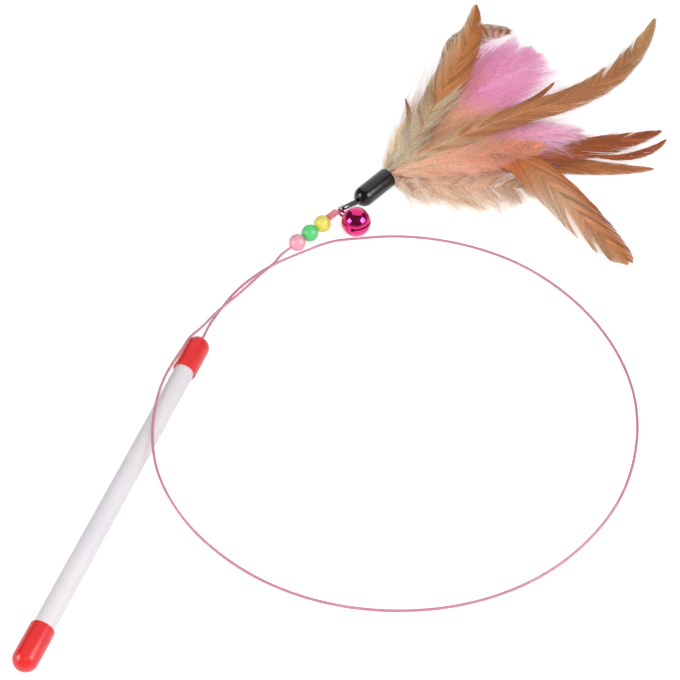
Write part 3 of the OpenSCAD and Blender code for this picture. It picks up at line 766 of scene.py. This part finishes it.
# each feather: where its quill sits, its length and width as shares, where it is widest, the
# headings of its shaft at even steps, what differs from its kind, and the colours from quill to
# tip down its middle and along its edge, as places and colours in turn
feathers = dict(
    feather_spike=dict(
        vane, side=1, layer=0, length=0.35, width=0.09, belly=1, seed=11,
        headings=(16, 20, 26, 40, 56), cup=0, slot="feather_dark",
        middle="0 #A5805A 0.5 #94643F 1 #A06A44", edge="0 #C8A478 1 #A57650"),
    feather_barred=dict(
        vane, side=0, layer=0, length=0.8, width=0.42, belly=3, seed=12,
        headings=(17, 19, 21, 23, -72), bars=4.0, barsFrom=0.78, barsLight=0.28, roundness=0.6,
        steps=16, lean=1.6, gather=0.35, ragged=0.12,
        middle="0 #EACBA8 0.6 #C48A60 1 #DDAA7E",
        edge="0 #F0DCC0 0.6 #DDB48C 1 #E8C098"),
    feather_ginger=dict(
        vane, side=-1, layer=0, length=0.73, width=0.3, belly=1.2, seed=13,
        headings=(-22, -38, -47, -57, -46), cup=0.08, splits=((0.86, 1, 0.9, 0.05),),
        middle="0 #E8C4A0 0.4 #D28E5C 1 #C87C48", edge="0 #E8C4A0 0.5 #CE824E 1 #DEA476"),
    plume_pink=dict(
        fluff, side=0.5, layer=1, length=0.68, width=1, belly=1.3, seed=14,
        headings=(1, 4, 4, -1, -16), lean=2.8, loft=0.5, roundness=0.4, cross=1.2, stray=0.8,
        middle="0 #F6DEC0 0.46 #FFCBA6 0.62 #FFB4DA 1 #FFBAE0",
        edge="0 #F8E8D0 0.48 #FFCBB4 0.64 #FFBCE0 1 #FFD2EA",
        edgeLeft="0 #F8E8D0 0.62 #FAC4A2 0.78 #FFBCE0 1 #FFD2EA"),
    plume_beige=dict(
        fluff, side=-1.4, layer=1, length=0.42, width=0.7, belly=0.9, seed=15, lean=0.95,
        headings=(-50, -58, -57, -52, -48), roundness=0.5, bend=0.26, wave=1.0, strand="#C69A78",
        middle="0 #FFEAD6 0.5 #FCDEC4 1 #FAE2C6", edge="0 #FFF6EA 0.4 #FFF2E0 1 #FFF8EC",
        edgeLeft="0 #FFEAD6 0.5 #FFDCC2 1 #FDE2C8"),
    plume_cream=dict(
        fluff, **creamDown, side=1, layer=2, length=0.4, width=0.34, belly=0.9, seed=16, bend=0.22,
        ragged=0.5, headings=(15, 13, 12, 8, 4)),
    feather_chestnut=dict(
        vane, side=-1, layer=2, length=0.76, width=0.41, belly=1.2, seed=17,
        headings=(-24, -42, -43, -38, -26),
        lobes=(dict(headings=(-24, -42, -49, -56, 4), length=0.78, width=0.13, start=0.68,
                    roundness=0.8),),
        middle="0 #DDA47C 0.4 #B8683C 1 #A2522E", edge="0 #DDA47C 0.5 #AE5C34 1 #B8683E"),
    feather_upright=dict(
        vane, side=0.9, layer=3, length=0.73, width=0.42, belly=1, seed=18,
        headings=(1, 15, 19, 22, 38), slot="feather_ginger",
        middle="0 #E4CCA6 0.3 #D28E58 1 #CC8048", edge="0 #EAD8B8 0.3 #CC7C44 1 #C8743C",
        edgeLeft="0 #F8ECD4 0.5 #E2BE94 1 #E8CCA4",
        afterFeather=dict(looseDown, till=0.4, width=0.38, stray=0.6)),
    plume_rose=dict(
        fluff, side=-0.9, layer=3, length=0.55, width=0.6, belly=1.1, seed=19,
        headings=(-30, -30, -30, -42, -62), cup=0.04, slot="plume_pink", lean=2.8,
        strand="#B86A5C", streak=0.14, stray=0.6,
        middle="0 #F8D4B4 0.4 #FFBCA2 0.7 #FFC0DC 1 #FFCCE6",
        edge="0 #FAE0C4 0.5 #FFC2CC 0.8 #FFD8EE 1 #FFEAF6"),
    feather_thin=dict(
        vane, side=0.5, layer=4, length=0.56, width=0.15, belly=1, seed=20,
        headings=(-21, -23, -21, -14, 5), cup=0.05, slot="feather_ginger",
        middle="0 #DBAA80 0.5 #BE7448 1 #B26640", edge="0 #DBAA80 1 #BE7648"),
    feather_leaf=dict(
        vane, side=-0.9, layer=4, length=0.83, width=0.5, belly=1.5, seed=21,
        headings=(-24, -46, -107, -111, -105), slot="feather_ginger", roundness=0.42, lean=3.4,
        splits=((0.66, -1, 1.2, 0.03), (0.78, -1, 0.9, 0.03)),
        middle="0 #F0BC9C 0.45 #D08048 0.66 #E8B48C 0.8 #D8956A 1 #C88452",
        edge="0 #F0BC9C 0.5 #CC7A40 0.66 #F2DCC6 0.84 #E8C4A0 1 #D2905C",
        edgeLeft="0 #F0BC9C 0.5 #C8712E 0.8 #B8602C 1 #C4763C"),
    feather_long=dict(
        vane, side=0.6, layer=5, length=0.97, width=0.36, belly=1, seed=22,
        headings=(-30, -25, -30, 2, 22), slot="feather_ginger",
        splits=((0.66, 1, 1.4, 0.03), (0.8, 1, 0.8, 0.03)),
        middle="0 #E0B088 0.4 #CC8658 0.7 #C27C50 1 #CFA06C",
        edge="0 #E0B088 0.4 #CA8250 0.8 #D0A070 1 #DAB684",
        afterFeather=dict(looseDown, till=0.25, width=0.4, strand="#B8683C",
                          middle="0 #F8E6C6 0.1 #F4D4AC 0.3 #E8B080",
                          edge="0 #FFF8E8 0.12 #FBE2C0 0.3 #F0BE92")),
    plume_salmon=dict(
        fluff, side=-0.9, layer=5, length=0.42, width=0.5, belly=0.9, seed=23,
        headings=(-46, -48, -46, -44, -46), cup=0.04, strand="#EEAC8A", lean=1.4, bend=0.22,
        middle="0 #FCDCC0 0.35 #F8CAAC 0.65 #E6A484 1 #DC966E",
        edge="0 #FFEAD2 0.45 #FFDCC6 0.75 #F2B698 1 #ECB08C"))


def shaftLine(feather):
    # the shaft seen from above: its heading runs evenly between the five given angles, and its
    # place is the running sum of short steps that way, after a straight quill in the cap
    share = np.linspace(0, 1.3, 391)
    body = tuft["length"] * feather["length"]
    heading = np.radians(np.interp(share, np.linspace(0, 1, 5), feather["headings"]))
    middle = (heading[1:] + heading[:-1]) / 2
    step = body * (share[1] - share[0])
    x = np.concatenate([[0], np.cumsum(step * np.cos(middle))])
    y = np.concatenate([[0], np.cumsum(step * np.sin(middle))]) + feather["side"] * tuft["pitch"]
    lead = tuft["quillIn"]
    return dict(s=np.concatenate([[-lead, -0.01], share * body]), body=body,
                x=np.concatenate([[-lead, -0.01], x]), y=np.concatenate([[y[0], y[0]], y]),
                heading=np.concatenate([[0, 0], heading]))


def onFeather(feather, line, s, left, above):
    # a place given along the shaft, to its left and above it, in the wand's frame; the shaft
    # climbs with its layer and nothing goes through the floor
    turn = np.interp(s, line["s"], line["heading"])
    x = np.interp(s, line["s"], line["x"]) - left * np.sin(turn)
    y = np.interp(s, line["s"], line["y"]) + left * np.cos(turn)
    ahead = np.maximum(s, 0)
    z = ((feather["layer"] - 2.5) * tuft["layer"] + above
         + tuft["rise"] * tuft["layerShares"][feather["layer"]] * ahead / (ahead + tuft["ease"]))
    turnCap = math.radians(lureSize["capAzimuth"])
    x, y = (x * math.cos(turnCap) - y * math.sin(turnCap),
            x * math.sin(turnCap) + y * math.cos(turnCap))
    z = np.maximum(z + mouthPoint[2], -capRadius + tuft["floorGap"] + 0.1 * np.abs(above))
    return np.stack([x + mouthPoint[0], y + mouthPoint[1], z], axis=-1)


def halfWidth(feather, t):
    # the vane's half width: a power of a half sine, which a belly power moves to the tip
    first = feather["start"]
    u = np.clip((t - first) / (1 - first), 0, 1) ** feather["belly"]
    blunt = feather.get("roundness", 0.7)
    return tuft["plumeHalf"] * feather["width"] * np.sin(math.pi * u) ** blunt


def softNoise(place, period, rng):
    # a smooth random line: random values at even knots, with eased steps between them
    knots = rng.uniform(-1, 1, int(np.max(place) / period) + 4)
    cell = np.floor(place / period).astype(int)
    part = place / period - cell
    part = part * part * (3 - 2 * part)
    return knots[cell] * (1 - part) + knots[cell + 1] * part


def rampColour(stops, value):
    # linear colours read between the stops of a text of places and colours in turn
    words = stops.split()
    at = [float(place) for place in words[::2]]
    colours = np.array([linearColour(colour)[:3] for colour in words[1::2]])
    return np.stack([np.interp(value, at, part) for part in colours.T], axis=-1)


def pullTogether(curves, wisp, pull):
    # the barbs of a wisp close up: each point moves towards the wisp's mean by
    # pull times (share along the barb) to the power 1.5
    total = np.zeros((wisp.max() + 1, *curves.shape[1:]))
    np.add.at(total, wisp, curves)
    mean = total / np.maximum(np.bincount(wisp), 1)[:, None, None]
    share = np.linspace(0, 1, curves.shape[1])[None, :, None] ** 1.5
    return curves + (mean[wisp] - curves) * pull[wisp][:, None, None] * share


def barbReach(feather, line, root, lean):
    # how far out each barb goes for its end to meet the vane's edge, found by halving the
    # difference a few times
    body = line["body"]
    reach = halfWidth(feather, root / body)
    for again in range(10):
        end = np.minimum(root + lean * reach, body * 0.995)
        reach = (reach + halfWidth(feather, end / body)) / 2
    return np.minimum(np.maximum(reach, 0.15), np.maximum(body - root, 0.3) / lean)


def barbColour(feather, side, t, weight, shade, tone):
    # from the middle's colours to the edge's by the weight; the light varies barb by barb, and
    # wisps with a high tone are of another strand
    edge = feather.get("edgeLeft", feather["edge"]) if side > 0 else feather["edge"]
    weight = (weight + 0 * t)[..., None]
    colour = rampColour(feather["middle"], t) * (1 - weight) + rampColour(edge, t) * weight
    if "strand" in feather:
        dark = np.clip((tone - 0.7) * 3, 0, 0.8)[:, None, None]
        colour = colour * (1 - dark) + np.array(linearColour(feather["strand"])[:3]) * dark
    return np.clip(colour * np.clip(shade, 0.5, 1.5)[..., None], 0, 1)


def oneSide(feather, line, side, u, root, path, wisp, light, rng):
    # the curves, colours and flat map of one side's barbs, from their path along, out from and
    # above the shaft and their wisps: each wisp has its own pull and tone and each barb its own
    # light, and a barred feather's outer part is dark where a sine along the shaft is low
    ahead, out, rise = path
    wisps = wisp.max() + 1
    tone = rng.normal(0, 1, wisps)
    pull = feather["gather"] * rng.uniform(feather["gatherLeast"], 1, wisps)
    shade = 1 + feather["mottle"] * rng.normal(0, 1, (len(root), 1)) + light
    shade = shade + feather["streak"] * tone[wisp][:, None]
    t = np.clip(ahead / line["body"], 0, 1)
    if "bars" in feather:
        shift = 0.5 * softNoise(root + 9, noiseStep["bars"], rng)[:, None]
        wave = np.sin(2 * math.pi * (ahead + shift) / feather["bars"] + 2 * u)
        plain = (wave > -0.1) | (t < feather["barsFrom"])
        shade = shade * np.where(plain, 1, feather["barsLight"])
    curves = pullTogether(onFeather(feather, line, ahead, side * out, rise), wisp, pull)
    across = flatMap["barbs"] * (root / line["body"])[:, None] + (side > 0) * flatMap["second"]
    flat = np.stack([across + 0 * u, u + 0 * t], axis=-1)
    weight = u ** feather["edgePower"]
    return curves, barbColour(feather, side, t, weight, shade, tone[wisp]), flat


def growBarbs(feather, line, side, count, u, rng):
    # barbs leave the shaft at even steps and run out to the vane's edge: at the share u of a
    # barb it is reach u^0.9 out and lean reach (0.6 u + 0.4 u^2) further along, so it bends
    # towards the tip; smooth noise opens the vane in places, and each barb waves by a sine
    body = line["body"]
    first, final = feather["start"], feather["till"]
    apart = feather["jitter"] / (count + 1)
    root = np.linspace(first, final, count) + rng.normal(0, apart, count)
    root = np.clip(root, 0.002, 0.99) * body
    lean = feather["lean"] * (1 + feather["leanSpread"] * rng.normal(0, 1, count))
    lean += feather["clump"] * feather["clumpLean"] * softNoise(root + 3, noiseStep["lean"], rng)
    for place, where, depth, width in feather.get("splits", ()):
        if where == side:
            off = (root / body - place) / width
            lean += depth * np.tanh(off * feather["splitSteep"]) * np.exp(-off * off)
    lean = np.clip(lean, *feather["leanEnds"])
    reach = barbReach(feather, line, root, lean)
    tuck = softNoise(root + 7, noiseStep["gap"], rng) * 0.6
    tuck = tuck + softNoise(root + 7, noiseStep["fineGap"], rng) * 0.4
    reach *= 1 - feather["clump"] * np.maximum(tuck, -0.4) * feather["clumpReach"]
    reach *= 1 - feather["ragged"] * rng.uniform(0, 1, count) ** 2
    reach *= 1 + feather["stray"] * (rng.uniform(0, 1, count) > feather["tidyShare"])
    out = reach[:, None] * (u ** 0.9)
    ahead = root[:, None] + (lean * reach)[:, None] * (0.6 * u + 0.4 * u * u)
    phase = rng.uniform(0, 6.28, (2, count, 1))
    swing = feather["wave"] * rng.normal(0, 1, (2, count, 1)) * u ** 1.5
    out = out + swing[0] * np.sin(feather["waves"][0] * u + phase[0])
    rise = rng.normal(0, 1, (count, 1)) * feather["loft"] * u ** 0.8
    rise = rise + feather["waveRise"] * swing[1] * np.sin(feather["waves"][1] * u + phase[1])
    uneven = feather["uneven"] * softNoise(root + 5, noiseStep["lift"], rng)[:, None]
    rise = rise - feather["cup"] * out * u + uneven * u
    cuts = np.sort(rng.choice(np.arange(1, count), count // feather["wisp"], replace=False))
    wisp = np.searchsorted(cuts, np.arange(count), side="right")
    light = feather["gapLight"] * tuck[:, None]
    return oneSide(feather, line, side, u, root, (ahead, out, rise), wisp, light, rng)


def growDown(feather, line, side, count, u, rng):
    # down grows in wisps: the barbs of one leave the shaft within a few millimetres, follow the
    # wisp's own lean and bend, by the square of the share u along them, and close up towards its
    # end; each goes aside by a random part of 4 u (1 - u), so that some cross over the shaft
    body = line["body"]
    wisps = max(count // feather["wisp"], 2)
    wisp = np.concatenate([np.arange(wisps), rng.integers(0, wisps, count - wisps)])
    centre = rng.uniform(feather["start"], feather["till"], wisps) * body
    root = np.clip(centre[wisp] + rng.normal(0, feather["rootSpread"], count), 0.2, 0.985 * body)
    own = np.exp(feather["leanSpread"] * rng.normal(0, 1, wisps))
    each = np.exp(feather["barbLean"] * rng.normal(0, 1, count))
    lean = feather["lean"] * own[wisp] * each
    lean = np.clip(lean, *feather["leanEnds"])
    reach = barbReach(feather, line, root, lean)
    reach *= (1 + feather["ragged"] * (0.25 - rng.uniform(0, 1, wisps) ** 2))[wisp]
    reach *= 1 + feather["barbReach"] * (0.3 - rng.uniform(0, 1, count) ** 2)
    reach *= 1 + feather["stray"] * (rng.uniform(0, 1, count) > feather["tidyShare"])
    bend = rng.normal(0, 1, wisps)[wisp] + feather["barbBend"] * rng.normal(0, 1, count)
    bend = (feather["bend"] * bend * reach)[:, None] * u * u
    slope = np.sqrt(1 + lean * lean)[:, None]
    wobble = feather["wave"] * rng.normal(0, 1, (count, 1)) * u * np.sin(
        feather["waves"] * u + rng.uniform(0, 6.28, (count, 1)))
    cross = feather["cross"] * rng.normal(0.2, 1, (count, 1)) * 4 * u * (1 - u)
    out = reach[:, None] * u + (wobble - bend) * lean[:, None] / slope - cross
    ahead = (root[:, None] + (lean * reach)[:, None] * (0.6 * u + 0.4 * u * u)
             + (bend - wobble) / slope)
    ahead = np.minimum(ahead, body * (1 + feather["tipSpread"] * rng.normal(0, 1, (count, 1))))
    lift = feather["loft"] * rng.normal(0.2, 1, wisps)[wisp]
    lift = lift + feather["barbLoft"] * rng.normal(0, 1, count)
    rise = lift[:, None] * u ** 0.8 - feather["cup"] * out * u
    return oneSide(feather, line, side, u, root, (ahead, out, rise), wisp, 0, rng)


def grownPart(feather, line, rng, steps=None):
    # both sides' curves, colours and map, then the barbs' width, which tapers as
    # 1 - 0.75 (share along the barb)^2, and their thickness, a share of it; another count of
    # steps is read between the points that there are
    count = int(line["body"] * feather["perMm"] * (feather["till"] - feather["start"]))
    u = np.linspace(0, 1, feather["steps"])[None, :]
    grow = growDown if feather["soft"] else growBarbs
    sides = [grow(feather, line, side, count, u, rng) for side in (-1, 1)]
    grown = [np.concatenate(pair) for pair in zip(*sides)]
    if steps:
        last = feather["steps"] - 1
        reach = np.linspace(0, 1, steps) * last
        low = np.minimum(reach.astype(int), last - 1)
        part = (reach - low)[None, :, None]
        grown = [rows[:, low] * (1 - part) + rows[:, low + 1] * part for rows in grown]
        u = np.linspace(0, 1, steps)[None, :]
    width = feather["barb"] * (1 - 0.75 * u ** 2) * rng.uniform(0.8, 1.2, (len(grown[0]), 1))
    return *grown, width, width * feather["thick"]


def barbSkin(curves, width, thick):
    # each barb is a thin three-sided blade: two edges beside its line and a ridge above it
    count, steps = curves.shape[:2]
    along = unitRows(np.gradient(curves, axis=1))
    side = unitRows(np.cross(along, np.array([0, 0, 1.0])))
    over = np.cross(side, along)
    width, thick = width[..., None], thick[..., None]
    points = np.stack([curves + side * width, curves + over * thick, curves - side * width],
                      axis=2)
    index = np.arange(count * steps * 3).reshape(count, steps, 3)
    nearer, further = index[:, :-1], index[:, 1:]
    quads = np.stack([nearer, further, np.roll(further, -1, 2), np.roll(nearer, -1, 2)],
                     axis=-1).reshape(-1, 4)
    ends = np.concatenate([index[:, 0], index[:, -1, ::-1]])
    return points.reshape(-1, 3), quads, ends


def shaftTube(feather, line):
    # a tapered tube from deep in the cap to just short of the tip, of pale horn that turns to
    # the vane's own colour, both in step with the share along it; points, colours, flat map
    body, sides = line["body"], 8
    s = np.concatenate([np.linspace(-tuft["quillIn"], 0, 4)[:-1], np.linspace(0, 0.97, 60) * body])
    size = tuft["quill"] / 2 * np.clip(1 - 0.85 * np.maximum(s, 0) / body, 0.15, 1)
    size *= feather["shaft"]
    grid = tubeGrid(onFeather(feather, line, s, 0 * s, 0 * s + 0.1), size, (0, 0, 1), sides)
    t = np.concatenate([[0, 0, 0], np.clip(s / body, 0, 1), [1, 1, 1]])
    share = np.clip(1.2 - 1.4 * t, 0.25, 1)[:, None] * feather["horn"]
    colour = rampColour(tuft["horn"], t) * share + rampColour(feather["middle"], t) * (1 - share)
    across = np.linspace(0, 1, sides)[None, :] + 0 * t[:, None]
    flat = np.stack([flatMap["shaft"] + flatMap["shaftWide"] * across,
                     0.01 + 0.98 * t[:, None] + 0 * across], axis=-1)
    return grid, np.repeat(colour[:, None], sides, axis=1), flat


def buildFeather(name, feather):
    # shaft and barbs in one mesh, with the colour of each point kept as an attribute and a flat
    # map that has the shaft's length one way and the barb's the other
    rng = np.random.default_rng(feather["seed"])
    line = shaftLine(feather)
    parts = [grownPart(feather, line, rng)]
    for change in feather.get("lobes", ()):
        # a part of the vane that has split off and bends its own way
        own = dict(feather, **change)
        parts.append(grownPart(own, shaftLine(own), rng))
    if "afterFeather" in feather:
        # the loose down near a cock feather's quill, in the same mesh
        own = dict(fluff, layer=feather["layer"], **feather["afterFeather"])
        parts.append(grownPart(own, line, rng, feather["steps"]))
    curves, colours, maps, width, thick = (np.concatenate(part) for part in zip(*parts))
    points, quads, ends = barbSkin(curves, width, thick)
    flat = np.repeat(maps[:, :, None], 3, axis=2)
    spread = np.array([-1, 0, 1]) * feather["mapHalf"]
    flat[..., 0] = np.clip(flat[..., 0] + spread, 0, flatMap["till"])
    shaft, shade, chart = shaftTube(feather, line)
    tube = gridFaces(*shaft.shape[:2], False, True)[:, ::-1] + len(points)
    mesh = fillMesh(name, np.concatenate([points, shaft.reshape(-1, 3)]),
                    np.concatenate([quads, tube]), ends)
    smooth = np.zeros(len(mesh.polygons), bool)
    smooth[len(quads):len(quads) + len(tube)] = True
    mesh.polygons.foreach_set("use_smooth", smooth)
    tint = np.repeat(colours[:, :, None], 3, axis=2)
    tint = np.concatenate([tint.reshape(-1, 3), shade.reshape(-1, 3)])
    layer = mesh.color_attributes.new("barbColour", "FLOAT_COLOR", "POINT")
    layer.data.foreach_set("color", np.column_stack([tint, np.ones(len(tint))])
                           .astype(np.float32).ravel())
    chart = np.concatenate([flat.reshape(-1, 2), chart.reshape(-1, 2)])
    corner = np.empty(len(mesh.loops), np.int32)
    mesh.loops.foreach_get("vertex_index", corner)
    sheet = mesh.uv_layers.new(name="OFBake")
    sheet.data.foreach_set("uv", chart[corner].astype(np.float32).ravel())
    placePiece(name.replace("_", ""), mesh, "lure", [name], feather.get("slot", name),
               downBarbs if feather["soft"] else hackleBarbs)
    print("feather", name, len(mesh.polygons), "faces")


def barbMaterial(name, glow, sieve, **values):
    # keratin barbs: their own colour from the attribute, lifted and dulled in fine streaks, and
    # so thin that part of the light comes through; the real ones are finer than these, so that
    # part of the light passes between them too
    material, tree, shader = newMaterial(name, **values)
    own = addNode(tree, "Attribute", attribute_name="barbColour").outputs["Color"]
    place = addNode(tree, "TexCoord").outputs["Object"]
    streak = addNode(tree, "TexNoise", {"Vector": place, "Scale": 900.0, "Detail": 2.0})
    level = rangeNode(tree, streak.outputs["Fac"], (0.3, 0.86), (0.7, 1.12))
    tone = addNode(tree, "VectorMath", {0: own, 1: level}, operation="MULTIPLY").outputs[0]
    tree.links.new(tone, shader.inputs["Base Color"])
    through = addNode(tree, "BsdfTranslucent", {"Color": tone}).outputs[0]
    mixed = mixNode(tree, glow, shader.outputs[0], through)
    shadow = addNode(tree, "LightPath").outputs["Is Shadow Ray"]
    clear = addNode(tree, "BsdfTransparent").outputs[0]
    mixed = mixNode(tree, mathNode(tree, "MULTIPLY", shadow, sieve), mixed, clear)
    tree.links.new(mixed, tree.nodes["Material Output"].inputs["Surface"])
    return material


# dyed and natural cock feathers: matt keratin with a faint silky sheen along the barbs
hackleBarbs = barbMaterial("hackleKeratin", 0.12, 0.3, Roughness=0.5, IOR=1.55,
                           Specular_IOR_Level=0.25, Sheen_Weight=0.08, Sheen_Roughness=0.4)
# marabou down: so fine that it only glows softly at its edges
downBarbs = barbMaterial("marabouDown", 0.26, 0.68, Roughness=0.75, IOR=1.55,
                         Specular_IOR_Level=0.15, Sheen_Weight=0.8, Sheen_Roughness=0.5)

for name, feather in feathers.items():
    buildFeather(name, feather)


# CAD pieces that stay, out of sight inside the others

for name, material in (("wire_anchor", finishes["pink_wire"]), ("bell_pellet", pelletSteel),
                       ("glue_plug", hotGlue)):
    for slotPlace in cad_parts[name].material_slots:
        slotPlace.material = material

print("all pieces built")
